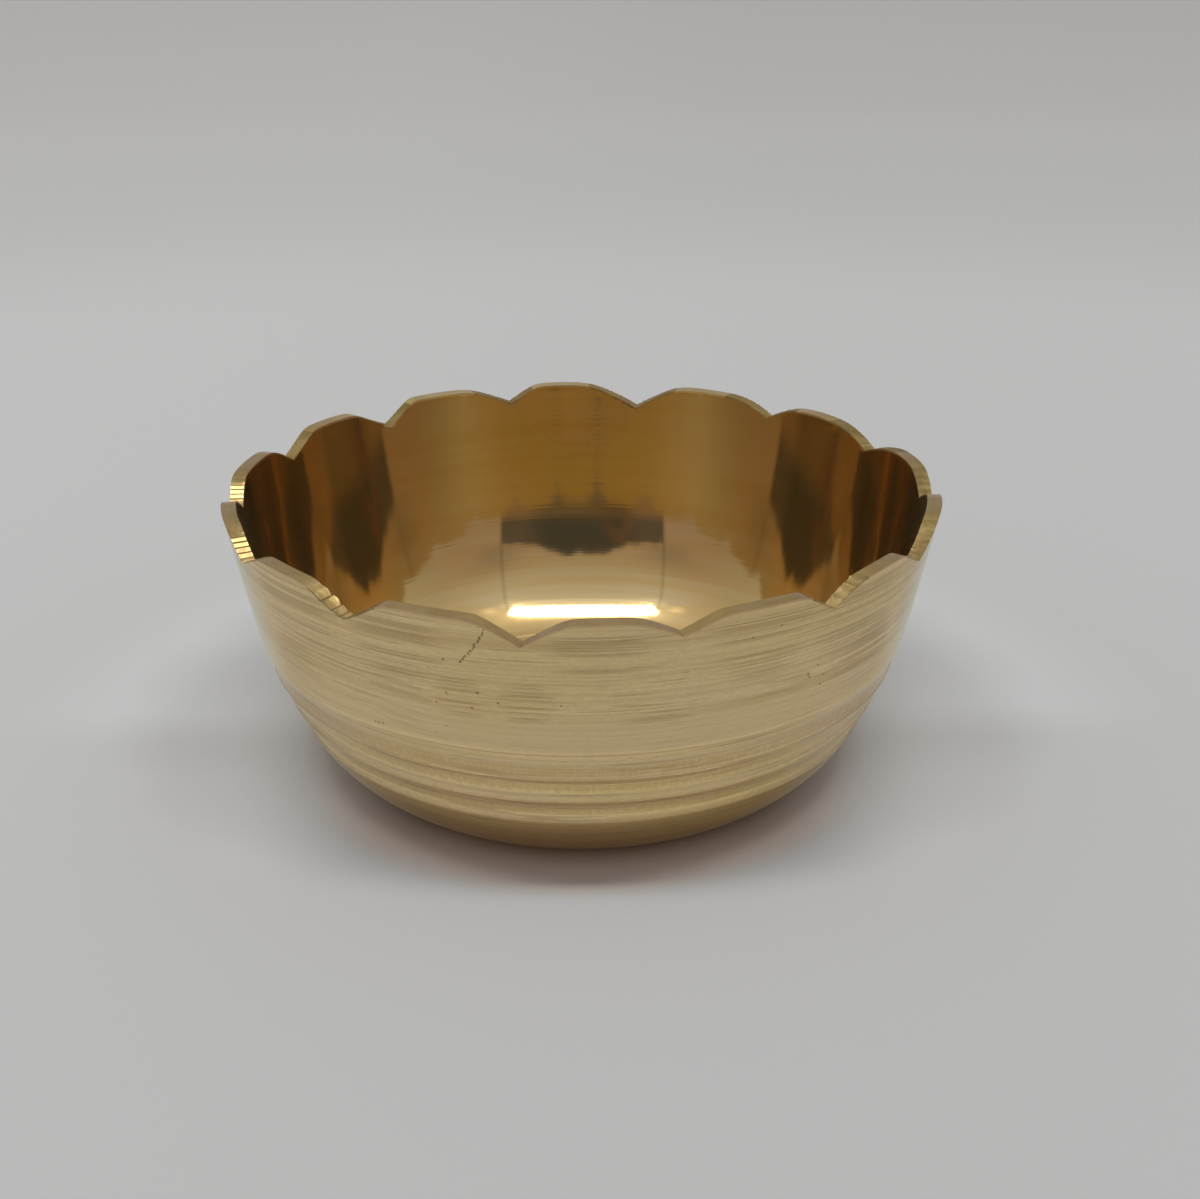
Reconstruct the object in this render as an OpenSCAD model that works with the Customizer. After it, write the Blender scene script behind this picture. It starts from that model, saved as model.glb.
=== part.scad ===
// Small turned brass offering bowl with a notched rim.
// The origin is the centre of the face it rests on, +Z is up, and -Y is the front.

/* [Rim and wall] */
// Outer diameter at the rim
rim_d = 90; // [75:1:120]
// Thickness of the wall, seen as the width of the flat rim
wall_t = 1.8; // [1.4:0.1:2.6]
// Height of the plain upper wall, from the soft ridge to the rim
upper_wall_h = 17.1; // [12:0.1:26]
// How far the upper wall leans out over that height
upper_wall_lean = 3.3; // [2:0.1:5]

/* [Turned bands under the wall] */
// Height from the upper crest to the soft ridge
ridge_band_h = 3.8; // [3:0.1:5]
// How far the upper crest lies inside the soft ridge
ridge_band_in = 1.3; // [1:0.05:1.7]
// Height from the middle crest to the upper crest
upper_band_h = 3.8; // [3:0.1:5]
// How far the middle crest lies inside the upper crest
upper_band_in = 1.65; // [1.2:0.05:2]
// Height from the lower crest to the middle crest
lower_band_h = 3.4; // [2.8:0.1:4.5]
// How far the lower crest lies inside the middle crest
lower_band_in = 1.6; // [1.2:0.05:2]
// Radius of the hollow turned between two crests
cove_r = 5.5; // [4.5:0.1:8]
// Radius of the shallower hollow under the soft ridge
ridge_cove_r = 9; // [7:0.5:14]
// Width of the small ledge that undercuts each crest
ledge_w = 0.15; // [0.05:0.05:0.25]

/* [Foot] */
// Height of the rounded foot, from the resting face to the lower crest
foot_h = 8.5; // [7:0.1:12]
// How far the resting face lies inside the lower crest
foot_in = 7.65; // [6:0.05:9]
// Radius of the rounded foot in section
foot_round_r = 19.6; // [16:0.1:26]
// Width of the flat ring that it rests on
rest_ring_w = 9.5; // [4:0.5:16]
// Depth of the recess turned inside that ring
recess_depth = 0.4; // [0.2:0.1:0.8]

/* [Inside] */
// Thickness of the floor
floor_t = 1.8; // [1.5:0.1:3]
// Height over the lower crest at which the inside wall turns into the corner
hip_rise = 1.5; // [0.8:0.1:3]
// How far that turn lies inside the lower crest
hip_in = 0.9; // [0.7:0.05:2]
// How far the edge of the flat floor lies inside that turn
floor_in = 7.8; // [6.8:0.1:10]
// Radius of the corner between the floor and the turn
corner_r = 17; // [15:0.5:26]
// Radius to which the inside of the wall bends between the turn and the rim
wall_round_r = 80; // [70:1:120]

/* [Rim notches] */
// Number of notches filed in the rim
notch_n = 14; // [8:1:16]
// Turn of the first notch from the front, in degrees
notch_turn = -11.9; // [-13:0.1:13]
// Depth of a common notch
notch_depth = 2.9; // [1.5:0.1:4]
// Length of the slope from the flat rim down to a notch
flank_run = 6; // [4:0.1:7]
// How far the slope bulges over the straight line
flank_bulge = 0.28; // [0.1:0.02:0.4]

/* [Hidden] */
$fn = 88;

// One overrun serves every cut
cut_over = 0.5;

rim_r = rim_d / 2;
ridge_r = rim_r - upper_wall_lean;
upper_crest_r = ridge_r - ridge_band_in;
middle_crest_r = upper_crest_r - upper_band_in;
lower_crest_r = middle_crest_r - lower_band_in;
rest_r = lower_crest_r - foot_in;
recess_r = rest_r - rest_ring_w;

lower_crest_z = foot_h;
middle_crest_z = lower_crest_z + lower_band_h;
upper_crest_z = middle_crest_z + upper_band_h;
ridge_z = upper_crest_z + ridge_band_h;
bowl_h = ridge_z + upper_wall_h;

inner_rim_r = rim_r - wall_t;
hip_r = lower_crest_r - hip_in;
hip_z = lower_crest_z + hip_rise;
floor_r = hip_r - floor_in;

// Filed by hand, so no two notches are alike. Each row is one notch, and holds its drift
// as a share of the even spacing, its depth, and the runs of its left and right slopes
notch_shares = [
    [0.13, 1.02, 0.97, 1.00],
    [-0.01, 0.74, 0.77, 0.88],
    [-0.07, 0.90, 0.81, 0.90],
    [-0.13, 0.98, 1.05, 1.00],
    [-0.12, 0.79, 0.94, 1.00],
    [-0.09, 0.84, 1.15, 1.24],
    [-0.06, 0.81, 0.94, 1.11],
    [0.03, 1.10, 1.15, 1.24],
    [0.02, 0.83, 0.89, 1.06],
    [0.04, 1.00, 0.76, 1.10],
    [0.08, 0.93, 0.99, 0.88],
    [0.09, 0.86, 0.89, 0.85],
    [0.01, 1.09, 0.92, 1.11],
    [0.09, 1.00, 0.93, 0.99]
];

// Radius of the circle with this bulge over a chord
function bulge_r(chord, bulge) = chord * chord / bulge / 8 + bulge / 2;

// Distance from the middle of a chord to the centre of its circle
function chord_gap(chord, r) = sqrt(r * r - chord * chord / 4);

// Centre of the circle of radius r through two points, to the right of the way from a to b
function circle_centre(a, b, r) =
    let (way = b - a, chord = norm(way))
    (a + b) / 2 + chord_gap(chord, r) * [way[1], -way[0]] / chord;

// Half section of one band, hollowed between the crest at its foot and the ledge at its top
module band(foot_r, foot_z, top_r, top_z, hollow_r) {
    ledge = [top_r - ledge_w, top_z];
    difference() {
        translate([0, foot_z]) square([top_r, top_z - foot_z]);
        translate(circle_centre([foot_r, foot_z], ledge, hollow_r)) circle(r = hollow_r);
    }
}

// Half section of the foot, a round swelling from the resting face up to the lower crest
module foot() {
    centre = circle_centre([lower_crest_r, lower_crest_z], [rest_r, 0], foot_round_r);
    square([centre[0], lower_crest_z]);
    intersection() {
        translate([centre[0] - cut_over, 0]) square([foot_round_r, lower_crest_z]);
        translate(centre) circle(r = foot_round_r);
    }
}

// Half section of the solid blank, before it is hollowed
module blank() {
    foot();
    band(lower_crest_r, lower_crest_z, middle_crest_r, middle_crest_z, cove_r);
    band(middle_crest_r, middle_crest_z, upper_crest_r, upper_crest_z, cove_r);
    band(upper_crest_r, upper_crest_z, ridge_r, ridge_z, ridge_cove_r);
    polygon([[0, ridge_z], [ridge_r, ridge_z], [rim_r, bowl_h], [0, bowl_h]]);
}

// Half section of the hollow, a flat floor, a round corner and a wall that bends up to the rim
module hollow() {
    corner = circle_centre([hip_r, hip_z], [floor_r, floor_t], corner_r);
    bend = circle_centre([inner_rim_r, bowl_h], [hip_r, hip_z], wall_round_r);
    translate([0, floor_t]) square([corner[0], hip_z - floor_t]);
    intersection() {
        translate([corner[0] - cut_over, floor_t]) square([hip_r, hip_z - floor_t]);
        translate(corner) circle(r = corner_r);
    }
    intersection() {
        translate([0, hip_z]) square([rim_r, bowl_h - hip_z + cut_over]);
        translate(bend) circle(r = wall_round_r);
    }
}

// Circle that leaves the slope to the right of a notch standing
module flank(depth, run) {
    chord = norm([run, depth]);
    r = bulge_r(chord, flank_bulge);
    translate(circle_centre([0, -depth], [run, 0], r)) circle(r = r);
}

// Outline of one notch, with its bottom below the origin and the rim at height zero
module notch_outline(depth, left_run, right_run) {
    difference() {
        translate([-left_run - cut_over, -depth - cut_over])
            square([left_run + right_run + 2 * cut_over, depth + 2 * cut_over]);
        flank(depth, right_run);
        mirror([1, 0]) flank(depth, left_run);
    }
}

// The notches, each filed straight through the wall
module notches() {
    reach = wall_t + flank_run;
    for (i = [0 : notch_n - 1]) {
        row = notch_shares[i % len(notch_shares)];
        rotate([0, 0, notch_turn + (i + row[0]) * 360 / notch_n])
            translate([0, reach - rim_r, bowl_h])
                rotate([90, 0, 0])
                    linear_extrude(height = reach + cut_over)
                        notch_outline(row[1] * notch_depth, row[2] * flank_run, row[3] * flank_run);
    }
}

module bowl() {
    color("darkkhaki")
        difference() {
            rotate_extrude()
                difference() {
                    blank();
                    hollow();
                    translate([0, -cut_over]) square([recess_r, recess_depth + cut_over]);
                }
            notches();
        }
}

bowl();
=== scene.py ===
import math
import random

import bpy
from mathutils import Matrix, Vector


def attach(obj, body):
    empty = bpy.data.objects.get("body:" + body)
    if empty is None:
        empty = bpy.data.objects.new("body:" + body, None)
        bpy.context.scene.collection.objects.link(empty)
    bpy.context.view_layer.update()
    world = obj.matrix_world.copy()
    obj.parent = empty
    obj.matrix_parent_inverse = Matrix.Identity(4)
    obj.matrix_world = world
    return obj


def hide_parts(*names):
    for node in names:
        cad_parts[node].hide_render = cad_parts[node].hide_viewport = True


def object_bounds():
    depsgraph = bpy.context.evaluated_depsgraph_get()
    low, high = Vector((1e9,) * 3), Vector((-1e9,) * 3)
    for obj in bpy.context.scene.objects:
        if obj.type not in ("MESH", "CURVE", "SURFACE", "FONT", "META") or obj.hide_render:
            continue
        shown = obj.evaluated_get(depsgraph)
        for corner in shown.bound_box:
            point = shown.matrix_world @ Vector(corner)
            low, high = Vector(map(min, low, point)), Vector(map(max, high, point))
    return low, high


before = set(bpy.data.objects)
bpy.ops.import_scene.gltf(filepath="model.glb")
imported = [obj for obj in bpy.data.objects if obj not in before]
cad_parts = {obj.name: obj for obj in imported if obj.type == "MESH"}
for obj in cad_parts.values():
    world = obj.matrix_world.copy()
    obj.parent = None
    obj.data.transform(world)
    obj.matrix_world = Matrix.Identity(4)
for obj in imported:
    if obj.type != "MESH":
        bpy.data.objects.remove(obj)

cad_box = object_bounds()

# Everything that Blender gets is in metres. The turning sizes are in millimetres, as a turner
# has them.
MM = 0.001
RIM_R = 0.5 * (cad_box[1][1] - cad_box[0][1])
RIM_MM = 45.0
RIM_Z = 36.6


# Camera


def place_camera():
    """Stands the camera where the photograph was taken from, in shares of the rim radius."""
    back, up = 4.2857, 2.3086
    pan, tilt, roll = 0.66, 23.573, -0.2065
    focal_px, photo_w, sensor_w = 1600.6, 1200, 36.0
    data = bpy.data.cameras.new("camera")
    data.sensor_fit = "HORIZONTAL"
    data.sensor_width = sensor_w
    data.lens = focal_px / photo_w * sensor_w
    data.clip_start, data.clip_end = 0.005, 20
    camera = bpy.data.objects.new("camera", data)
    camera.matrix_world = (
        Matrix.Translation((0, -back * RIM_R, up * RIM_R))
        @ Matrix.Rotation(-math.radians(pan), 4, "Z")
        @ Matrix.Rotation(math.radians(90 - tilt), 4, "X")
        @ Matrix.Rotation(math.radians(roll), 4, "Z")
    )
    bpy.context.scene.collection.objects.link(camera)
    bpy.context.scene.camera = camera


place_camera()


# Node helpers


def node(tree, kind, inputs=None, **settings):
    """Adds a node, sets its fields, and fills or links its inputs by name or by number."""
    made = tree.nodes.new(kind)
    for name, value in settings.items():
        setattr(made, name, value)
    for name, value in (inputs or {}).items():
        socket = made.inputs[name]
        if isinstance(value, bpy.types.NodeSocket):
            tree.links.new(value, socket)
        else:
            socket.default_value = value
    return made


def maths(tree, operation, *values):
    """One Math node on up to three values or sockets."""
    return node(tree, "ShaderNodeMath", dict(enumerate(values)), operation=operation).outputs[0]


def product(tree, first, *others):
    """All the values or sockets multiplied together."""
    for other in others:
        first = maths(tree, "MULTIPLY", first, other)
    return first


def ramp(tree, value, from_min, from_max, to_min=0.0, to_max=1.0):
    """Carries a value smoothly from one span to another, held at both ends."""
    inputs = {"Value": value, "From Min": from_min, "From Max": from_max,
              "To Min": to_min, "To Max": to_max}
    made = node(tree, "ShaderNodeMapRange", inputs, interpolation_type="SMOOTHSTEP")
    return made.outputs["Result"]


def bell(tree, value, middle, width):
    """1 where the value is at the middle, falling off smoothly to either side."""
    away = maths(tree, "DIVIDE", maths(tree, "SUBTRACT", value, middle), width)
    return maths(tree, "EXPONENT", product(tree, away, away, -1.0))


def fading(tree, away, reach, most):
    """Falls from its most to nothing with the distance."""
    return product(tree, maths(tree, "EXPONENT", maths(tree, "DIVIDE", away, -reach)), most)


def blend_colour(tree, share, first, second, blend="MIX"):
    """Mixes two colours, given as sockets or as three numbers."""
    made = node(tree, "ShaderNodeMix", data_type="RGBA", blend_type=blend)
    for number, value in ((0, share), (6, first), (7, second)):
        socket = made.inputs[number]
        if isinstance(value, bpy.types.NodeSocket):
            tree.links.new(value, socket)
        else:
            socket.default_value = (*value, 1) if isinstance(value, tuple) else value
    return made.outputs[2]


def object_point(tree):
    """The place on the object, in metres."""
    return node(tree, "ShaderNodeTexCoord").outputs["Object"]


def coordinate(tree, axis):
    """X, Y or Z of the place on the object."""
    return node(tree, "ShaderNodeSeparateXYZ", {0: object_point(tree)}).outputs[axis]


def aside(tree):
    """How far the place lies to the left or the right of the middle."""
    return maths(tree, "ABSOLUTE", coordinate(tree, "X"))


def distance(tree, point):
    """How far the place on the object lies from a point."""
    return node(tree, "ShaderNodeVectorMath", {0: object_point(tree), 1: point},
                operation="DISTANCE").outputs["Value"]


# Section of the bowl, as the lathe turned it

UNDERSIDE, OUTSIDE, RIM_FACE, INSIDE = range(4)

# Heights of the foot and of the three bands over it, and how far each crest lies inside the
# next one up
FOOT_H, BAND_HS, BAND_INS = 8.5, (3.4, 3.8, 3.8), (1.6, 1.65, 1.3)
COVE_RS, LEDGE_W, LEDGE_H = (5.5, 5.5, 9.0), 0.15, 0.06
# Each crest has its sharp edge broken by a bevel that faces up and out
BEVEL_W, BEVEL_H = 0.1, 0.08
WALL_LEAN, WALL_H, WALL_T = 3.3, 17.1, 1.8
SLOPE = WALL_LEAN / WALL_H
FOOT_IN, FOOT_ROUND_R, REST_RING_W, RECESS_DEPTH = 7.65, 19.6, 9.5, 0.4
# Rows along the round of the foot, along each hollow, over each half of the wall, and over the
# flat floor inside
FOOT_ROWS, COVE_ROWS, WALL_ROWS, FLOOR_ROWS = 14, 9, 6, 4
# The files reach this far down the wall, and the mesh gives way over this height
FILE_ZONE = 4.6
# Where the flat rim meets the outside and the inside
OUTER_EDGE = (RIM_MM - 0.004, RIM_Z)
INNER_EDGE = (RIM_MM - WALL_T + 0.004, RIM_Z)

# How steep the inside is at each height over the table, in degrees from level, up to the rim
INSIDE_STEEPNESS = [
    (1.75, 12), (1.82, 24), (2.2, 28), (2.6, 34), (3.0, 38.5), (3.5, 42), (4.5, 45), (6.5, 53),
    (9, 60.5), (11, 63.5), (13, 66.5), (15, 69.5), (17, 72), (19, 74.3), (21.5, 76.2), (25, 78),
    (30, 80.3), (RIM_Z, 83),
]
INSIDE_HEIGHTS = [
    36.3, 35.3, 34.2, 33.1, 32, 30, 27.5, 25, 22.5, 20.2, 18.2, 16.4, 14.7, 13.1, 11.6, 10.2,
    9.0, 7.9, 6.9, 6.1, 5.4, 4.8, 4.3, 3.85, 3.45, 3.1, 2.8, 2.55, 2.33, 2.14, 1.99, 1.87,
    1.79, 1.75,
]
# The inside line is followed down the wall in steps of this height
INSIDE_STEP = 0.01


def arc(a, b, radius, steps, side):
    """Points on the arc of this radius from a to b, a left out, its centre on the given side."""
    way = (b[0] - a[0], b[1] - a[1])
    chord = math.hypot(*way)
    gap = math.sqrt(radius * radius - chord * chord / 4)
    cx = (a[0] + b[0]) / 2 + side * gap * way[1] / chord
    cz = (a[1] + b[1]) / 2 - side * gap * way[0] / chord
    start = math.atan2(a[1] - cz, a[0] - cx)
    turn = math.atan2(b[1] - cz, b[0] - cx) - start
    turn = (turn + math.pi) % (2 * math.pi) - math.pi
    angles = [start + turn * i / steps for i in range(1, steps + 1)]
    return [(cx + radius * math.cos(t), cz + radius * math.sin(t)) for t in angles]


def steepness(z):
    """Steepness of the inside at height z, in degrees."""
    for (low, first), (high, second) in zip(INSIDE_STEEPNESS, INSIDE_STEEPNESS[1:]):
        if z <= high:
            return first + (second - first) * max(0.0, z - low) / (high - low)
    return INSIDE_STEEPNESS[-1][1]


def inside_line():
    """Points down the inside from just under the rim to the edge of the flat floor."""
    radius, z = RIM_MM - WALL_T, RIM_Z
    points = []
    for target in INSIDE_HEIGHTS:
        while z > target + INSIDE_STEP / 2:
            radius -= INSIDE_STEP / math.tan(math.radians(steepness(z - INSIDE_STEP / 2)))
            z -= INSIDE_STEP
        points.append((radius, target))
    return points


def section():
    """Rows of (radius, height, part) in mm, from the underside's centre, up the outside and in."""
    ridge_r = RIM_MM - WALL_LEAN
    crest_rs = [ridge_r - sum(BAND_INS[i:]) for i in range(4)]
    crest_zs = [FOOT_H + sum(BAND_HS[:i]) for i in range(4)]
    ridge_z = crest_zs[3]
    rest_r = crest_rs[0] - FOOT_IN
    recess_r = rest_r - REST_RING_W
    dip = RECESS_DEPTH
    rows = []

    def put(part, *points):
        rows.extend((r, z, part) for r, z in points)

    # The small steps beside each edge round it off.
    # Underside, with the mark of the lathe's centre in the middle of the recess
    put(UNDERSIDE, (0, dip + 0.5), (0.5, dip + 0.2), (1.0, dip), (10, dip))
    put(UNDERSIDE, (recess_r - 0.3, dip), (recess_r - 0.1, dip - 0.1), (recess_r, 0.1))
    put(UNDERSIDE, (recess_r + 0.12, 0.0), ((recess_r + rest_r) / 2, 0), (rest_r - 0.6, 0))
    put(UNDERSIDE, (rest_r - 0.15, 0.03))
    # Foot and bands, each with a small ledge under its crest and a bevel over it
    under_lowest = (crest_rs[0] - 0.04, crest_zs[0] - 0.1)
    put(OUTSIDE, *arc((rest_r, 0.1), under_lowest, FOOT_ROUND_R, FOOT_ROWS, -1))
    ends = [(r - LEDGE_W, z - LEDGE_H) for r, z in zip(crest_rs, crest_zs)]
    for i, cove_r in enumerate(COVE_RS):
        foot = (crest_rs[i] - BEVEL_W, crest_zs[i] + BEVEL_H)
        put(OUTSIDE, (crest_rs[i], crest_zs[i]), foot)
        put(OUTSIDE, *arc(foot, ends[i + 1], cove_r, COVE_ROWS, 1))
        if i < 2:
            put(OUTSIDE, (ends[i + 1][0] + 0.04, crest_zs[i + 1] - 0.02))
    # Leaning wall, with closer rows where the files reach
    zone_z = RIM_Z - FILE_ZONE
    shares = [i / WALL_ROWS for i in range(1, WALL_ROWS + 1)]
    wall_zs = [ridge_z + 0.1, ridge_z + 0.6]
    wall_zs += [ridge_z + (zone_z - ridge_z) * share for share in shares]
    wall_zs += [zone_z + (FILE_ZONE - 0.25) * share for share in shares]
    put(OUTSIDE, *[(ridge_r + (z - ridge_z) * SLOPE, z) for z in wall_zs])
    # Flat rim between its two broken edges
    inner_r = RIM_MM - WALL_T
    put(RIM_FACE, OUTER_EDGE, (RIM_MM - 0.12, RIM_Z), (RIM_MM - 0.6, RIM_Z))
    put(RIM_FACE, (inner_r + 0.6, RIM_Z), INNER_EDGE)
    # Inside, down to the flat floor
    wall_line = inside_line()
    put(INSIDE, *wall_line)
    floor_r, floor_z = wall_line[-1]
    put(INSIDE, *[(floor_r * (1 - i / FLOOR_ROWS), floor_z) for i in range(1, FLOOR_ROWS + 1)])
    return rows


def leaning(r, z, part):
    """Lean of the wall at a row, in mm in for each mm down, and its growth with the height."""
    inner, below = (1 / math.tan(math.radians(steepness(h))) for h in (z, z - 1))
    if part == INSIDE:
        return inner, inner - below
    share = (RIM_MM - r) / WALL_T if part == RIM_FACE else 0.0
    return SLOPE + (inner - SLOPE) * share, 0.0


# Notches, filed by hand

# Each row is one notch: degrees from the front and depth, then for its left and its right
# slope the run, the bulge over a straight line, and the width and height of the ridges that
# the chattering file left
NOTCHES = [
    (-8.5, 3.0, (5.1, 0.11, 4, 0.05), (5.1, 0.07, 4, 0.03)),
    (13.5, 2.17, (4.8, 0.14, 4, 0.03), (4.4, -0.04, 4, 0.04)),
    (37.8, 2.78, (4.4, -0.07, 2, 0.04), (5.1, 0.38, 3, 0.11)),
    (61.8, 3.1, (6.1, -0.14, 2, 0.07), (7.0, -0.15, 2, 0.07)),
    (88.0, 2.35, (5.0, 0.1, 2, 0.08), (6.6, 0.11, 3, 0.09)),
    (114.3, 2.4, (8.5, 0.34, 2, 0.09), (8.8, 0.31, 2, 0.07)),
    (140.8, 2.4, (5.8, 0.23, 3, 0.09), (7.7, 0.43, 2, 0.06)),
    (169.0, 3.3, (6.65, 0.13, 2, 0.07), (7.9, 0.23, 2, 0.08)),
    (194.3, 2.45, (4.1, 0.01, 4, 0.08), (6.4, 0.03, 2, 0.07)),
    (220.6, 3.0, (4.4, -0.14, 2, 0.09), (6.2, -0.15, 2, 0.08)),
    (247.3, 2.75, (5.9, -0.17, 2, 0.08), (5.0, 0.14, 3, 0.09)),
    (273.3, 2.6, (4.8, 0.05, 2, 0.13), (4.6, 0.1, 2, 0.07)),
    (297.0, 3.1, (5.1, 0.1, 2, 0.15), (6.8, 0.02, 3, 0.08)),
    (324.6, 3.1, (5.3, -0.2, 3, 0.2), (5.2, -0.19, 3, 0.05)),
]
# How bright the file has left each notch: 1 for a fresh cut, and under FRESH_CUT where it is
# as dull as the rim
FILE_CUT, FRESH_CUT = [0.5, 0.5] + [1.0] * 12, 0.6
# Lobes that the file has lowered a little, by number to the right of the first notch
LOW_LOBES = {4: 0.15, 5: 0.1}
# Gap between the stops round the rim, how far a slope eases over into the flat, and the least
# that any stop is lowered
STOP_GAP, SHOULDER, LEAST_DROP = 0.352, 0.6, 0.012
# Most that a burr stands up, its share along a slope that is filed, and how far short of the
# top of a slope the fresh cut ends
BURR, FILED_BURR, CUT_SHORT = 0.1, 0.3, 0.2
# Where the file has turned the outer edge over: degrees from the front, and the share of burr
TURNED_EDGES = [(-17.5, -13.5, 1.0), (-41.0, -36.8, 2.2), (42.0, 43.2, 1.6), (288.5, 292.5, 0.6)]


def slope_drop(along, depth, slope):
    """How far below the rim one slope is at this distance from the bottom of its notch."""
    run, bulge = slope[:2]
    share = along / run
    if share < 1:
        line = depth * (1 - share) - 4 * bulge * share * (1 - share)
    else:
        line = (1 - share) * (depth - 4 * bulge)
    return (line + math.hypot(line, SHOULDER)) / 2


def ridges(slope, chance):
    """Heights to take off the stops along one slope, from the bottom of the notch up."""
    run, _, width, height = slope
    count = int(run / STOP_GAP)
    marks, step = [], 0
    while step < count:
        tall = height * (0.55 + 0.7 * chance.random())
        span = max(2, width + chance.choice((-1, 0, 0, 1)) if width > 2 else 2)
        marks += [tall * (0.5 - k / (span - 1)) for k in range(span)]
        step += span
    # They fade out at the top of the slope and at the very bottom
    return [mark * min(1.0, 3 * (1 - k / count)) * min(1.0, k / 2)
            for k, mark in enumerate(marks[:count])]


def turned_share(azimuth):
    """Share of burr where the file has turned the edge over, and 0 elsewhere."""
    return max(share if start < azimuth < end or start < azimuth + 360 < end else 0.0
               for start, end, share in TURNED_EDGES)


def ring():
    """Stops round the rim: azimuth in degrees, drop in mm, how fresh the cut is, share of burr."""
    chance = random.Random(14)
    stops = []
    count = len(NOTCHES)
    for i, (at, depth, _, rise) in enumerate(NOTCHES):
        next_at, next_depth, fall, _ = NOTCHES[(i + 1) % count]
        span = (next_at - at) % 360
        length = math.radians(span) * RIM_MM
        steps = round(length / STOP_GAP)
        rising, falling = ridges(rise, chance), ridges(fall, chance)
        for k in range(steps):
            along = length * k / steps
            drop = slope_drop(along, depth, rise) + slope_drop(length - along, next_depth, fall)
            drop = math.hypot(drop, LOW_LOBES.get(i, 0.0))
            back = steps - k
            if k < len(rising):
                drop += rising[k]
            elif back < len(falling):
                drop += falling[back]
            if along < length / 2:
                filed = FILE_CUT[i] * (along < rise[0] - CUT_SHORT)
            else:
                filed = FILE_CUT[(i + 1) % count] * (length - along < fall[0] - CUT_SHORT)
            azimuth = (at + span * k / steps + 180) % 360 - 180
            burr = max(FILED_BURR * filed, turned_share(azimuth))
            stops.append((azimuth, max(drop, LEAST_DROP), filed, burr))
    return stops


def helper_mesh(name, positions, **attributes):
    """An object of loose points that carry these values."""
    mesh = bpy.data.meshes.new(name)
    mesh.from_pydata(positions, [], [])
    for key, values in attributes.items():
        mesh.attributes.new(key, "FLOAT", "POINT").data.foreach_set("value", values)
    made = bpy.data.objects.new(name, mesh)
    bpy.context.scene.collection.objects.link(made)
    return made


# A face takes the mean of its corners' parts, and gets a part's finish over these limits
OVER_OUTSIDE, OVER_RIM, OVER_INSIDE = 0.55, 1.4, 2.6
# How far the noise of the burr moves on from stop to stop, and how much of it leans outward
BURR_STEP, BURR_OUT = 1.37, 0.6
SAME_SPOT = 1e-7


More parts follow.
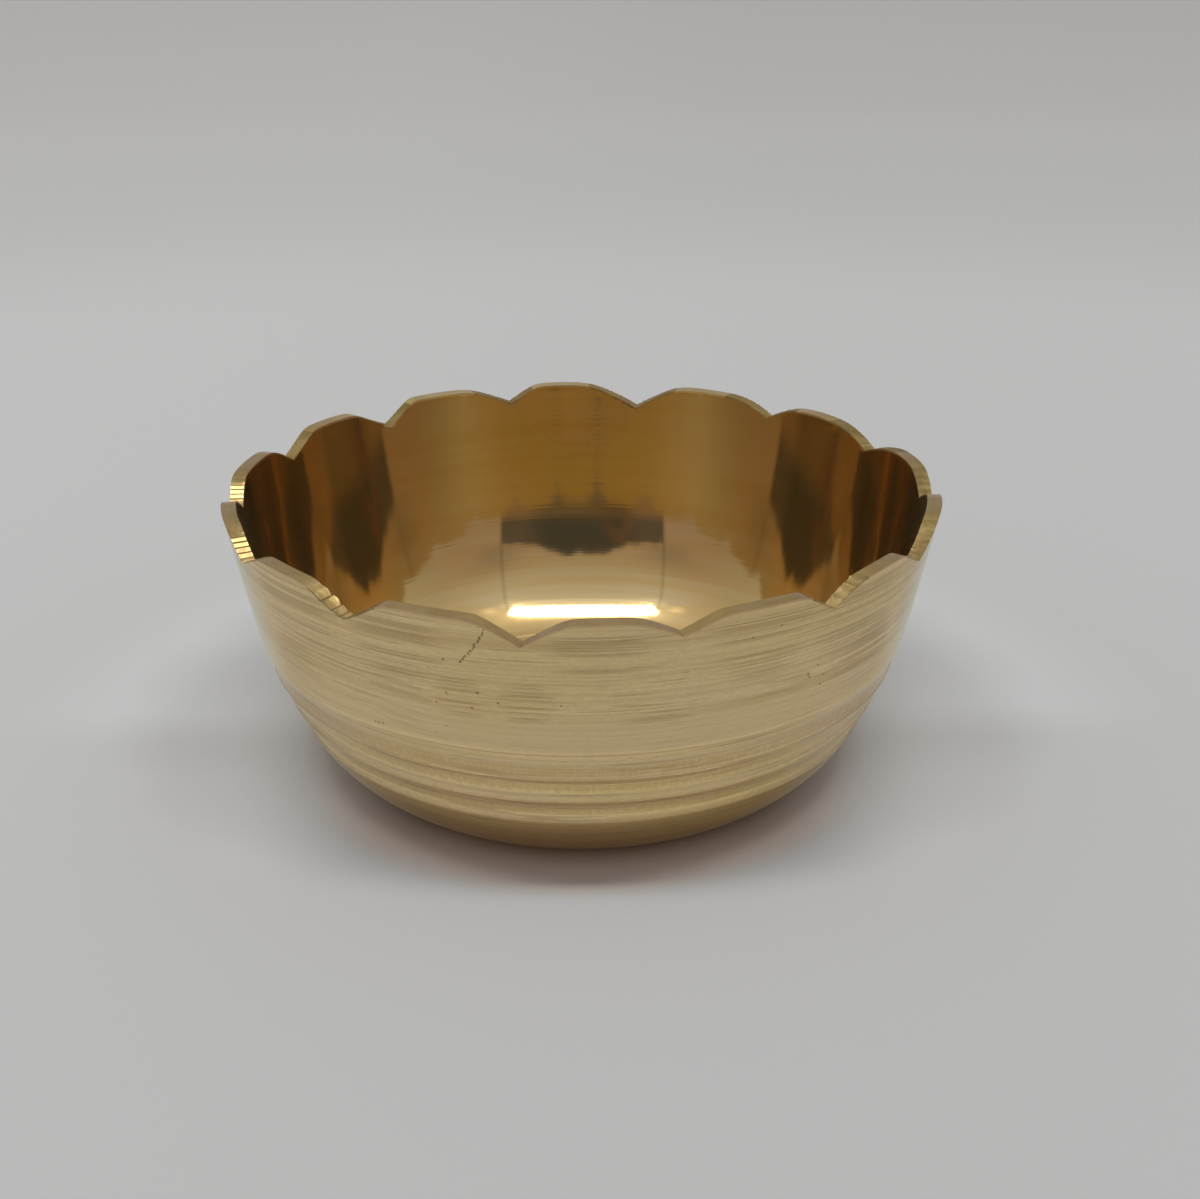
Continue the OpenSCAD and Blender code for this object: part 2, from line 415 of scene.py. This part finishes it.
def turning_tree(materials):
    """Geometry nodes that spin the section and lower it at each stop of the filed ring."""
    tree = bpy.data.node_groups.new("Spin the section and file the rim", "GeometryNodeTree")
    face = tree.interface
    for name, kind in (("Section", "Geometry"), ("Filed ring", "Object"), ("Rows", "Int"),
                       ("Stops", "Int"), ("Burr", "Float"), ("Seed", "Int"),
                       ("Sharp edge", "Float")):
        face.new_socket(name, in_out="INPUT", socket_type="NodeSocket" + kind)
    face.new_socket("Bowl", in_out="OUTPUT", socket_type="NodeSocketGeometry")
    given = node(tree, "NodeGroupInput").outputs
    ring_object = node(tree, "GeometryNodeObjectInfo", {"Object": given["Filed ring"]})
    ring_points = ring_object.outputs["Geometry"]

    def whole(operation, first, second):
        return node(tree, "FunctionNodeIntegerMath", {0: first, 1: second},
                    operation=operation).outputs[0]

    def read(name):
        return node(tree, "GeometryNodeInputNamedAttribute", {"Name": name},
                    data_type="FLOAT").outputs[0]

    def sampled(geometry, value, at, kind="FLOAT"):
        inputs = {"Geometry": geometry, "Value": value, "Index": at}
        return node(tree, "GeometryNodeSampleIndex", inputs, data_type=kind,
                    domain="POINT").outputs[0]

    def over(name, limit):
        return node(tree, "FunctionNodeCompare", {0: name, 1: limit}, data_type="FLOAT",
                    operation="GREATER_THAN").outputs[0]

    def stored(geometry, name, value):
        inputs = {"Geometry": geometry, "Name": name, "Value": value}
        return node(tree, "GeometryNodeStoreNamedAttribute", inputs, data_type="FLOAT",
                    domain="POINT").outputs[0]

    def painted(geometry, material, selection=True):
        inputs = {"Geometry": geometry, "Material": material, "Selection": selection}
        return node(tree, "GeometryNodeSetMaterial", inputs).outputs[0]

    grid = node(tree, "GeometryNodeMeshGrid",
                {"Vertices X": whole("ADD", given["Stops"], 1), "Vertices Y": given["Rows"]})
    index = node(tree, "GeometryNodeInputIndex").outputs[0]
    row = whole("MODULO", index, given["Rows"])
    stop = whole("MODULO", whole("DIVIDE", index, given["Rows"]), given["Stops"])

    position = node(tree, "GeometryNodeInputPosition").outputs[0]
    row_point = sampled(given["Section"], position, row, "FLOAT_VECTOR")
    spot = node(tree, "ShaderNodeSeparateXYZ", {0: row_point}).outputs
    share, part, edge, lean, bend = (
        sampled(given["Section"], read(name), row)
        for name in ("file_share", "part", "edge", "lean", "bend"))
    azimuth, drop, filed, burr_share = (
        sampled(ring_points, read(name), stop) for name in ("azimuth", "drop", "filed", "burr"))

    # A lowered row keeps to the surface of its wall, so it also moves in
    lowered = product(tree, share, drop)
    lean = maths(tree, "SUBTRACT", lean, product(tree, bend, lowered, 0.5))
    drawn_in = product(tree, lowered, lean)
    # A burr stands up from both edges of the rim, and leans away from it
    spread = maths(tree, "MULTIPLY_ADD", stop, BURR_STEP, maths(tree, "ADD", edge, given["Seed"]))
    chance = node(tree, "ShaderNodeTexWhiteNoise", {"W": spread}, noise_dimensions="1D").outputs[0]
    burr = product(tree, given["Burr"], chance, burr_share)
    burr_up = product(tree, burr, maths(tree, "ABSOLUTE", edge))
    burr_out = product(tree, burr, product(tree, edge, BURR_OUT))
    height = maths(tree, "ADD", maths(tree, "SUBTRACT", spot["Z"], lowered), burr_up)
    radius = maths(tree, "ADD", maths(tree, "SUBTRACT", spot["X"], drawn_in), burr_out)
    # The azimuth runs from the front to the right
    across = product(tree, radius, maths(tree, "SINE", azimuth))
    along = product(tree, radius, product(tree, maths(tree, "COSINE", azimuth), -1.0))
    place = node(tree, "ShaderNodeCombineXYZ", {"X": across, "Y": along, "Z": height}).outputs[0]

    made = stored(stored(grid.outputs["Mesh"], "part", part), "filed", filed)
    made = node(tree, "GeometryNodeSetPosition", {"Geometry": made, "Position": place}).outputs[0]
    made = node(tree, "GeometryNodeMergeByDistance",
                {"Geometry": made, "Distance": SAME_SPOT}).outputs[0]
    made = node(tree, "GeometryNodeSetShadeSmooth", {"Geometry": made}).outputs[0]
    angle = node(tree, "GeometryNodeInputMeshEdgeAngle").outputs["Unsigned Angle"]
    made = node(tree, "GeometryNodeSetShadeSmooth",
                {"Geometry": made, "Selection": over(angle, given["Sharp edge"]),
                 "Shade Smooth": False}, domain="EDGE").outputs[0]
    made = node(tree, "GeometryNodeRealizeInstances", {"Geometry": made}).outputs[0]

    on_cut = node(tree, "FunctionNodeBooleanMath",
                  {0: over(read("part"), OVER_RIM), 1: over(read("filed"), FRESH_CUT)},
                  operation="AND").outputs[0]
    made = painted(made, materials["underside"])
    made = painted(made, materials["outside"], over(read("part"), OVER_OUTSIDE))
    made = painted(made, materials["rim"], over(read("part"), OVER_RIM))
    made = painted(made, materials["filed"], on_cut)
    made = painted(made, materials["inside"], over(read("part"), OVER_INSIDE))
    tree.links.new(made, node(tree, "NodeGroupOutput").inputs["Bowl"])
    return tree


def set_inputs(modifier, values):
    """Sets a node modifier's named inputs through their sockets' identifiers."""
    items = modifier.node_group.interface.items_tree
    ids = {item.name: item.identifier for item in items if item.in_out == "INPUT"}
    for name, value in values.items():
        modifier[ids[name]] = value


def plain_mesh(worked, *helpers):
    """Turns an object with live nodes into a plain mesh, and clears away what made it."""
    depsgraph = bpy.context.evaluated_depsgraph_get()
    mesh = bpy.data.meshes.new_from_object(worked.evaluated_get(depsgraph))
    worked.modifiers.clear()
    worked.data = mesh
    for helper in helpers:
        bpy.data.objects.remove(helper)
    return worked


def turned_bowl(materials):
    """The bowl as one plain mesh, spun from its section and filed at its rim."""
    rows = section()
    stops = ring()
    zone_z = RIM_Z - FILE_ZONE
    leans = [leaning(*row) for row in rows]
    section_object = helper_mesh(
        "bowl", [(r * MM, 0, z * MM) for r, z, _ in rows],
        file_share=[max(0.0, (z - zone_z) / FILE_ZONE) for _, z, _ in rows],
        part=[float(part) for _, _, part in rows],
        edge=[float((r == OUTER_EDGE[0]) - (r == INNER_EDGE[0])) for r, _, _ in rows],
        lean=[lean for lean, _ in leans], bend=[bend / MM for _, bend in leans])
    ring_object = helper_mesh(
        "ring", [(0, 0, 0)] * len(stops), azimuth=[math.radians(stop[0]) for stop in stops],
        drop=[stop[1] * MM for stop in stops], filed=[stop[2] for stop in stops],
        burr=[stop[3] for stop in stops])
    modifier = section_object.modifiers.new("turning", "NODES")
    modifier.node_group = turning_tree(materials)
    set_inputs(modifier, {"Filed ring": ring_object, "Rows": len(rows), "Stops": len(stops),
                          "Burr": BURR * MM, "Seed": 5, "Sharp edge": math.radians(22)})
    return plain_mesh(section_object, ring_object)


# Finishes


def blank_material(name):
    """A new material, its tree and its shader."""
    material = bpy.data.materials.new(name)
    material.use_nodes = True
    tree = material.node_tree
    return material, tree, tree.nodes["Principled BSDF"]


def brass(name, colour, roughness, anisotropy):
    """Brass with its polish running round the bowl, before any marks are laid over it."""
    material, tree, shader = blank_material(name)
    for socket, value in (("Metallic", 1.0), ("Base Color", (*colour, 1)),
                          ("Roughness", roughness), ("Anisotropic", anisotropy),
                          ("Anisotropic Rotation", 0.25)):
        shader.inputs[socket].default_value = value
    tangent = node(tree, "ShaderNodeTangent", direction_type="RADIAL", axis="Z")
    tree.links.new(tangent.outputs[0], shader.inputs["Tangent"])
    return material, tree, shader


def relief(tree, shader, height, depth, strength=1.0):
    """Gives a shader the fine relief of a height, with its depth in metres."""
    bump = node(tree, "ShaderNodeBump",
                {"Height": height, "Distance": depth, "Strength": strength})
    tree.links.new(bump.outputs[0], shader.inputs["Normal"])


def turned_noise(tree, around, along, detail=2.0, offset=0.0, slant=0.0):
    """Noise with so many patches a metre around the bowl and along its section.

    Few around and many along make rings, and like numbers make patches. A slant lets the rings
    climb from one side to the other."""
    x, y, z = node(tree, "ShaderNodeSeparateXYZ", {0: object_point(tree)}).outputs
    squares = maths(tree, "ADD", product(tree, x, x), product(tree, y, y))
    down = maths(tree, "ADD", z, maths(tree, "SQRT", squares))
    if slant:
        down = maths(tree, "MULTIPLY_ADD", x, slant, down)
    placed = node(tree, "ShaderNodeCombineXYZ", {
        0: maths(tree, "MULTIPLY_ADD", x, around, offset),
        1: maths(tree, "MULTIPLY_ADD", y, around, offset),
        2: maths(tree, "MULTIPLY_ADD", down, along, offset)}).outputs[0]
    return node(tree, "ShaderNodeTexNoise",
                {"Vector": placed, "Scale": 1.0, "Detail": detail}).outputs[0]


def height_band(tree, *spans):
    """1 at heights inside any of the spans (low, high and softness in mm)."""
    z = coordinate(tree, "Z")
    total = None
    for low, high, soft in spans:
        inside = product(tree, ramp(tree, z, (low - soft) * MM, (low + soft) * MM),
                         ramp(tree, z, (high + soft) * MM, (high - soft) * MM))
        total = inside if total is None else maths(tree, "MAXIMUM", total, inside)
    return total


def wall_point(azimuth, z):
    """Point on the outside of the plain wall."""
    turn = math.radians(azimuth)
    radius = RIM_MM - (RIM_Z - z) * SLOPE
    return (radius * math.sin(turn) * MM, -radius * math.cos(turn) * MM, z * MM)


def near_points(tree, points, full):
    """1 near any of the wall points (degrees, height, reach in mm), falling to 0 at its reach.

    It is full up to this share of the reach."""
    total = None
    for azimuth, z, reach in points:
        away = distance(tree, wall_point(azimuth, z))
        near = ramp(tree, away, reach * MM, reach * full * MM)
        total = near if total is None else maths(tree, "MAXIMUM", total, near)
    return total


# Small flaws of the casting in the wall: degrees from the front, height and size in mm
PITS = [
    (-13.9, 35.9, 0.3), (-19.6, 31.1, 0.24), (-19.9, 26.8, 0.17), (-15.1, 27.3, 0.24),
    (-21.7, 25.3, 0.17), (-16.2, 25.2, 0.21), (-12.2, 26.2, 0.2), (-3.2, 26.3, 0.15),
    (-33.6, 20.4, 0.2), (-32.9, 20.45, 0.2), (-32.1, 20.5, 0.2), (35.1, 25.9, 0.25),
    (35.5, 25.4, 0.2), (36.8, 26.7, 0.17), (38.2, 23.8, 0.19), (38.6, 25.0, 0.17),
    (28.2, 33.7, 0.16), (23.7, 32.9, 0.16),
]
# A short open seam in the casting, from its top to its foot
SEAM = [(-13.2, 35.5), (-14.1, 34.1), (-15.5, 32.5), (-17.3, 31.0)]
PITS_A_LEG = 6
# Places where the tool chattered across the turning: degrees, height and reach in mm
CHATTER = [(-50, 23, 10), (-28, 24.5, 8), (31, 24.7, 8), (50, 25, 10)]
# Places where its point left a stack of fine grooves
GROOVED = [
    (26, 33.5, 9), (44, 33.8, 11), (66, 33.5, 12), (48, 25.5, 8), (66, 26.5, 10), (2, 34, 7),
    (-27, 33, 8), (-47, 33, 10), (-68, 31, 11), (-18, 26.4, 4), (-8, 26.3, 4), (120, 33, 14),
    (165, 32, 14), (-150, 33, 16), (150, 25, 9),
]
# Bands of height: where each hollow swells out under its crest and is painted lighter, where the
# tool combed it, and the crests themselves, which get a painted highlight at both sides
LIT_SWELLS = [(18.3, 19.8, 0.5), (13.1, 14.9, 0.5), (9.0, 10.2, 0.4)]
COMBED = [(16.0, 17.6, 0.3), (13.2, 14.6, 0.3), (9.4, 10.6, 0.3)]
CRESTS = [(15.6, 15.95, 0.12), (11.8, 12.15, 0.12), (8.4, 8.75, 0.12)]
# All that lies under the soft ridge, the foot, which is painted darker, the wall just over the
# ridge, and where the wall is golden
UNDER_RIDGE, SHADED_FOOT, OVER_RIDGE = (-1, 19.2, 0.3), (-1, 8.25, 0.15), (19.7, 24.0, 0.9)
GOLDEN = [(31.5, 35.8, 0.6), (23.8, 27.2, 0.6)]


def seam_pits():
    """Small pits strung along the seam, some of which run together."""
    chance = random.Random(3)
    pits = []
    for (start, high), (end, low) in zip(SEAM, SEAM[1:]):
        for k in range(PITS_A_LEG):
            share = (k + 0.7 * chance.random()) / PITS_A_LEG
            azimuth = start + (end - start) * share + 0.14 * chance.uniform(-1, 1)
            pits.append((azimuth, high + (low - high) * share, 0.1 + 0.13 * chance.random()))
    return pits


def satin_outside():
    """The outside as the tool left it, with its rings, grooves, chatter and pits, and painted
    light and shade.
    """
    material, tree, shader = brass("brass turned satin", (0.80, 0.60, 0.33), 0.36, 0.6)
    lines = turned_noise(tree, around=12, along=3100, detail=1.0)
    cuts = turned_noise(tree, around=20, along=1250, detail=1.5, offset=17)
    scratches = turned_noise(tree, around=70, along=2700, detail=1.0, offset=13)
    weave = turned_noise(tree, around=1100, along=2600, detail=1.0, offset=61)
    grooves = turned_noise(tree, around=9, along=2300, detail=1.0, offset=53)
    grooves = product(tree, ramp(tree, grooves, 0.49, 0.6), near_points(tree, GROOVED, 0.35))
    streaks = turned_noise(tree, around=14, along=480, offset=3)
    patches = turned_noise(tree, around=42, along=60, offset=7)
    grain = turned_noise(tree, around=700, along=1500, offset=23)
    chatter = turned_noise(tree, around=40, along=1500, detail=1.0, offset=31, slant=0.16)
    chatter = product(tree, chatter, near_points(tree, CHATTER, 0.3))
    combed = turned_noise(tree, around=2600, along=260, detail=1.0, offset=41)
    combed = product(tree, combed, height_band(tree, *COMBED))
    # Golden where the tool cut cleanly, duller between, and calm over the soft ridge
    colour = blend_colour(tree, ramp(tree, patches, 0.35, 0.65),
                          (0.89, 0.69, 0.40), (0.88, 0.69, 0.34))
    clean = product(tree, ramp(tree, streaks, 0.42, 0.62),
                    maths(tree, "MULTIPLY_ADD", height_band(tree, *GOLDEN), 0.6, 0.15))
    calm = height_band(tree, OVER_RIDGE)
    for share, shade in (
        (clean, (0.71, 0.52, 0.25)),
        (ramp(tree, lines, 0.3, 0.7, 0.0, 0.32), (0.58, 0.42, 0.21)),
        (ramp(tree, weave, 0.35, 0.65, 0.0, 0.16), (0.52, 0.38, 0.19)),
        (ramp(tree, cuts, 0.58, 0.66, 0.0, 0.2), (0.52, 0.37, 0.18)),
        (ramp(tree, scratches, 0.61, 0.68, 0.0, 0.5), (0.48, 0.33, 0.16)),
        (product(tree, grooves, 0.5), (0.47, 0.32, 0.15)),
        (ramp(tree, chatter, 0.45, 0.6, 0.0, 0.35), (0.52, 0.37, 0.18)),
        (ramp(tree, combed, 0.3, 0.6, 0.0, 0.4), (0.66, 0.45, 0.16)),
        (product(tree, calm, 0.45), (0.80, 0.62, 0.345)),
    ):
        colour = blend_colour(tree, share, colour, shade)
    # Dark dirt sits in the pits and in the pores of the casting
    specks = ramp(tree, grain, 0.72, 0.78, 0.0, 0.4)
    flaws = maths(tree, "MAXIMUM", product(tree, near_points(tree, PITS, 0.2), 0.85),
                  product(tree, near_points(tree, seam_pits(), 0.4), 0.8))
    colour = blend_colour(tree, maths(tree, "MAXIMUM", specks, flaws), colour, (0.24, 0.15, 0.06))
    # Painted light where a band swells to its crest, painted shade on the foot and at both sides
    off_centre = aside(tree)
    bands = height_band(tree, UNDER_RIDGE)
    # Painted shade: both sides of the bands are greyer and bluer than the front
    dull = product(tree, ramp(tree, off_centre, 0.015, 0.034), bands)
    for share, shade in ((height_band(tree, *LIT_SWELLS), (1.16, 1.18, 1.12)),
                         (height_band(tree, SHADED_FOOT), (0.73, 0.67, 0.54)),
                         (dull, (0.92, 0.93, 1.08))):
        colour = blend_colour(tree, share, colour, shade, "MULTIPLY")
    # A painted sheen makes the satin paler and less golden at a glance, and a painted highlight
    # lies along the crests at both sides
    glance = node(tree, "ShaderNodeLayerWeight", {"Blend": 0.5}).outputs["Facing"]
    pale = product(tree, ramp(tree, glance, 0.70, 0.98),
                   maths(tree, "MULTIPLY_ADD", bands, -0.6, 1.0))
    colour = blend_colour(tree, pale, colour, (0.84, 0.82, 0.66))
    crest_glint = product(tree, ramp(tree, off_centre, 0.033, 0.039), height_band(tree, *CRESTS), 0.65)
    colour = blend_colour(tree, crest_glint, colour, (0.90, 0.87, 0.76))
    tree.links.new(colour, shader.inputs["Base Color"])
    tree.links.new(ramp(tree, streaks, 0.3, 0.7, 0.37, 0.345), shader.inputs["Roughness"])
    height = lines
    for share, layer in ((0.35, cuts), (0.25, grain), (1.6, chatter), (-0.8, scratches),
                         (0.4, weave), (-2.0, flaws), (-2.0, grooves)):
        height = maths(tree, "MULTIPLY_ADD", layer, share, height)
    relief(tree, shader, height, 0.00003, maths(tree, "MULTIPLY_ADD", calm, -0.4, 0.9))
    return material


def polished_inside():
    """The mirror of the inside wall, and the flat floor that is left as the tool cut it."""
    roughness = 0.062
    material, tree, shader = brass("brass polished inside", (0.78, 0.545, 0.23), roughness, 0.7)
    # The polish has a faint haze
    shader.inputs["Coat Weight"].default_value = 0.18
    shader.inputs["Coat Roughness"].default_value = 0.45
    rings = turned_noise(tree, around=7, along=1100, offset=11)
    pulls = turned_noise(tree, around=85, along=2100, offset=19)
    stain = turned_noise(tree, around=20, along=420, offset=29)
    floor = height_band(tree, (0, 1.95, 0.06))
    pulls = product(tree, pulls, maths(tree, "MULTIPLY_ADD", floor, 4.0, 0.45))
    relief(tree, shader, maths(tree, "ADD", rings, pulls), 0.0000055)
    colour = blend_colour(tree, ramp(tree, stain, 0.40, 0.62),
                          (0.785, 0.555, 0.245), (0.76, 0.52, 0.205))
    colour = blend_colour(tree, floor, colour, (0.54, 0.42, 0.22))
    # Both sides are tinted less golden and a little bluer than the rest
    colour = blend_colour(tree, ramp(tree, aside(tree), 0.029, 0.038), colour,
                          (0.82, 0.91, 1.12), "MULTIPLY")
    tree.links.new(colour, shader.inputs["Base Color"])
    tree.links.new(maths(tree, "MULTIPLY_ADD", floor, 0.3, roughness), shader.inputs["Roughness"])
    return material


def plain_finish(name, first, second, roughness, around, along, depth, mark=0.35, painted_light=None):
    """Brass of two close colours with scratches that run round the bowl or across it.

    Painted light is a colour that the finish is multiplied by between two distances behind the
    middle of the bowl, which paints it lighter there."""
    material, tree, shader = brass(name, first, roughness, 0.3)
    scratches = turned_noise(tree, around, along, offset=5)
    cloud = turned_noise(tree, around=350, along=350, offset=9)
    colour = blend_colour(tree, ramp(tree, cloud, 0.35, 0.65), first, second)
    colour = blend_colour(tree, ramp(tree, scratches, 0.5, 0.75, 0.0, mark), colour,
                          (0.48, 0.33, 0.15))
    if painted_light:
        start, end, shade = painted_light
        share = ramp(tree, coordinate(tree, "Y"), start * MM, end * MM)
        colour = blend_colour(tree, share, colour, shade, "MULTIPLY")
    tree.links.new(colour, shader.inputs["Base Color"])
    relief(tree, shader, maths(tree, "MULTIPLY_ADD", cloud, 0.5, scratches), depth)
    return material


# Stage

LAMP_H, LAMP_Y = 0.4, -0.115
LAMP_W, LAMP_D, LAMP_GLOW = 0.34, 0.052, 25.0


def lay_floor():
    """A pale sheet that lies flat and sweeps up behind the bowl."""
    half, front, bend_at, bend_r, top, bend_steps = 1.6, -1.6, 0.75, 0.25, 0.45, 12
    line = [(front, 0.0), (-0.3, 0.0), (0.2, 0.0), (bend_at, 0.0)]
    turns = [math.pi / 2 * i / bend_steps for i in range(1, bend_steps + 1)]
    line += [(bend_at + bend_r * math.sin(t), bend_r * (1 - math.cos(t))) for t in turns]
    line.append((bend_at + bend_r, top))
    vertices = [(x, y, z) for y, z in line for x in (-half, half)]
    faces = [(2 * i, 2 * i + 1, 2 * i + 3, 2 * i + 2) for i in range(len(line) - 1)]
    mesh = bpy.data.meshes.new("floor")
    mesh.from_pydata(vertices, [], faces)
    for polygon in mesh.polygons:
        polygon.use_smooth = True
    mesh.materials.append(paper())
    floor = bpy.data.objects.new("floor", mesh)
    bpy.context.scene.collection.objects.link(floor)


def paper():
    """Pale paper, greyer under the lamp so that the sheet looks even, and painted lighter and
    warmer by the brass.
    """
    material, tree, shader = blank_material("pale paper")
    shader.inputs["Roughness"].default_value = 0.9
    spot = object_point(tree)
    x, y, _ = node(tree, "ShaderNodeSeparateXYZ", {0: spot}).outputs
    away = distance(tree, (0, LAMP_Y, 0))
    radius = node(tree, "ShaderNodeVectorMath", {0: spot}, operation="LENGTH").outputs["Value"]
    shade = product(tree, ramp(tree, away, 0.0, 0.62, 0.360, 0.855),
                    ramp(tree, away, 0.35, 0.5, 1.0, 0.95),
                    ramp(tree, away, 0.6, 0.8, 1.0, 1.03),
                    maths(tree, "MULTIPLY_ADD", bell(tree, away, 0.56, 0.1), -0.045, 1.0),
                    ramp(tree, x, -0.12, 0.12, 1.022, 0.978))
    green = product(tree, shade, ramp(tree, away, 0.15, 0.9, 1.0, 0.99))
    blue = product(tree, shade, ramp(tree, y, 0.05, 0.8, 0.995, 0.95))
    colour = node(tree, "ShaderNodeCombineColor", {0: shade, 1: green, 2: blue}).outputs[0]
    # Painted light that the brass throws on the paper at both sides, behind and close round its
    # foot, and a painted warm tone in front
    to_side = maths(tree, "DIVIDE", maths(tree, "ABSOLUTE", x), radius)
    beside = product(tree, ramp(tree, radius, 0.058, 0.036), ramp(tree, to_side, 0.62, 1.0))
    behind = product(tree, ramp(tree, radius, 0.086, 0.052), ramp(tree, y, -0.004, 0.008))
    front = ramp(tree, y, -0.012, -0.030)
    warm = product(tree, ramp(tree, radius, 0.041, 0.037), front)
    close = product(tree, ramp(tree, radius, 0.0390, 0.0342),
                    maths(tree, "MULTIPLY_ADD", front, 0.6, 0.4))
    for share, tone in ((beside, (1.42, 1.42, 1.40)), (behind, (1.15, 1.16, 1.18)),
                        (warm, (1.03, 0.96, 0.87)), (close, (1.52, 1.36, 1.32))):
        colour = blend_colour(tree, share, colour, tone, "MULTIPLY")
    tree.links.new(colour, shader.inputs["Base Color"])
    grain = node(tree, "ShaderNodeTexNoise", {"Vector": spot, "Scale": 1800.0, "Detail": 2.0})
    relief(tree, shader, grain.outputs[0], 0.00001, 0.5)
    return material


def hang_softbox():
    """A long lamp over the front edge of the bowl."""
    data = bpy.data.lights.new("softbox", "AREA")
    data.shape = "RECTANGLE"
    data.size, data.size_y = LAMP_W, LAMP_D
    data.energy = LAMP_GLOW * math.pi * LAMP_W * LAMP_D
    lamp = bpy.data.objects.new("softbox", data)
    lamp.location = (0, LAMP_Y, LAMP_H)
    bpy.context.scene.collection.objects.link(lamp)


def light_room():
    """A pale tent round the table, brighter round the lamp and open in front of the camera."""
    world = bpy.data.worlds.new("studio")
    bpy.context.scene.world = world
    world.use_nodes = True
    tree = world.node_tree
    direction = node(tree, "ShaderNodeTexCoord").outputs["Generated"]
    way = node(tree, "ShaderNodeSeparateXYZ", {0: direction}).outputs
    side = maths(tree, "ABSOLUTE", way["X"])
    ahead = maths(tree, "MAXIMUM", product(tree, way["Y"], -1.0), 0.001)
    up = maths(tree, "MAXIMUM", way["Z"], 0.03)
    above = maths(tree, "DIVIDE", up, ahead)
    abreast = maths(tree, "DIVIDE", side, up)
    behind = maths(tree, "DIVIDE", way["Y"], up)
    sideways = maths(tree, "DIVIDE", side, ahead)
    folds = node(tree, "ShaderNodeTexNoise",
                 {"Vector": direction, "Scale": 9.0, "Detail": 3.0}).outputs[0]
    # The glow of the lamp on the cloth over the table
    past_end = maths(tree, "MAXIMUM", maths(tree, "SUBTRACT", abreast, 0.42), 0.0)
    past_edge = maths(tree, "ADD", behind, -LAMP_Y / LAMP_H)
    away = maths(tree, "SQRT", maths(tree, "ADD", product(tree, past_end, past_end),
                                     product(tree, past_edge, past_edge)))
    glow = maths(tree, "ADD", fading(tree, away, 0.95, 0.42), fading(tree, away, 0.08, 0.5))
    # A brighter rail in front of the lamp, with its two ends
    rail = product(tree, ramp(tree, behind, -0.60, -0.56), ramp(tree, abreast, 0.64, 0.54),
                   ramp(tree, behind, -0.38, -0.42, 0.0, 0.2))
    level = maths(tree, "ADD", glow, maths(tree, "ADD", rail, 0.30))
    ends = product(tree, bell(tree, abreast, 0.62, 0.07), bell(tree, behind, -0.33, 0.05))
    level = maths(tree, "MULTIPLY_ADD", ends, 0.5, level)
    low_side = product(tree, bell(tree, way["Y"], 0.13, 0.30), ramp(tree, way["Z"], 0.6, 0.4))
    level = maths(tree, "MULTIPLY_ADD", low_side, 0.12, level)
    # The front strip of the cloth between two seams
    half_strip = maths(tree, "MULTIPLY_ADD", up, 0.272, product(tree, ahead, 0.5746))
    strip = maths(tree, "SUBTRACT", half_strip, side)
    seam = product(tree, ramp(tree, maths(tree, "ABSOLUTE", strip), 0.020, 0.006),
                   product(tree, ramp(tree, ahead, 0.1, 0.3), 0.22))
    level = product(tree, level, maths(tree, "SUBTRACT", 1.0, seam))
    # Pinker low down in front, yellow behind, cool by the rail, dim beside the opening
    pink = product(tree, ramp(tree, way["Z"], 0.62, 0.42), ramp(tree, ahead, 0.15, 0.6))
    cool = product(tree, ramp(tree, away, 0.75, 0.35), ramp(tree, behind, -0.32, -0.48))
    dim = product(tree, bell(tree, abreast, 1.3, 0.4), bell(tree, behind, -1.6, 0.45))
    colour = blend_colour(tree, pink, (1.0, 1.0, 1.0), (1.02, 0.85, 0.80))
    colour = blend_colour(tree, ramp(tree, way["Y"], 0.4, 0.78), colour, (1.02, 1.0, 0.72))
    colour = blend_colour(tree, cool, colour, (1.0, 1.08, 1.32), "MULTIPLY")
    colour = blend_colour(tree, dim, colour, (0.74, 0.80, 0.84), "MULTIPLY")
    cloth = node(tree, "ShaderNodeVectorMath", {0: colour, "Scale": level},
                 operation="SCALE").outputs[0]
    # The dark opening at the foot of the strip, with a wavy top
    top = maths(tree, "SUBTRACT", maths(tree, "MULTIPLY_ADD", folds, 0.09, 0.53),
                ramp(tree, sideways, 0.18, 0.42, 0.0, 0.075))
    opening = product(tree, ramp(tree, strip, -0.008, 0.012),
                      ramp(tree, maths(tree, "SUBTRACT", above, top), 0.02, -0.02))
    dark = blend_colour(tree, ramp(tree, above, 0.33, 0.25),
                        (0.056, 0.058, 0.060), (0.135, 0.108, 0.075))
    brown = product(tree, bell(tree, maths(tree, "DIVIDE", way["X"], ahead), -0.27, 0.12),
                    ramp(tree, folds, 0.4, 0.55))
    dark = blend_colour(tree, brown, dark, (0.105, 0.072, 0.055))
    dark = blend_colour(tree, ramp(tree, sideways, 0.24, 0.5), dark, (1.7, 1.5, 1.45), "MULTIPLY")
    room = blend_colour(tree, opening, cloth, dark)
    seen = node(tree, "ShaderNodeLightPath").outputs["Is Camera Ray"]
    shown = blend_colour(tree, seen, room, (0.45, 0.45, 0.45))
    tree.links.new(shown, tree.nodes["Background"].inputs["Color"])


bpy.context.scene.view_settings.view_transform = "Standard"
lay_floor()
hang_softbox()
light_room()

finishes = {
    "outside": satin_outside(),
    "inside": polished_inside(),
    # The rim face is painted lighter towards the back of the bowl
    "rim": plain_finish("brass rim face", (0.67, 0.48, 0.255), (0.61, 0.42, 0.21), 0.26,
                        around=60, along=2500, depth=0.00002,
                        painted_light=(15, 38, (1.35, 1.45, 1.4))),
    "filed": plain_finish("brass filed notch", (0.45, 0.325, 0.14), (0.33, 0.23, 0.09), 0.42,
                          around=1300, along=250, depth=0.00005, mark=0.55),
    "underside": plain_finish("brass turned underside", (0.78, 0.58, 0.30), (0.72, 0.52, 0.26),
                              0.36, around=20, along=1500, depth=0.00003),
}

bowl = turned_bowl(finishes)
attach(bowl, "root")
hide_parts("bowl")
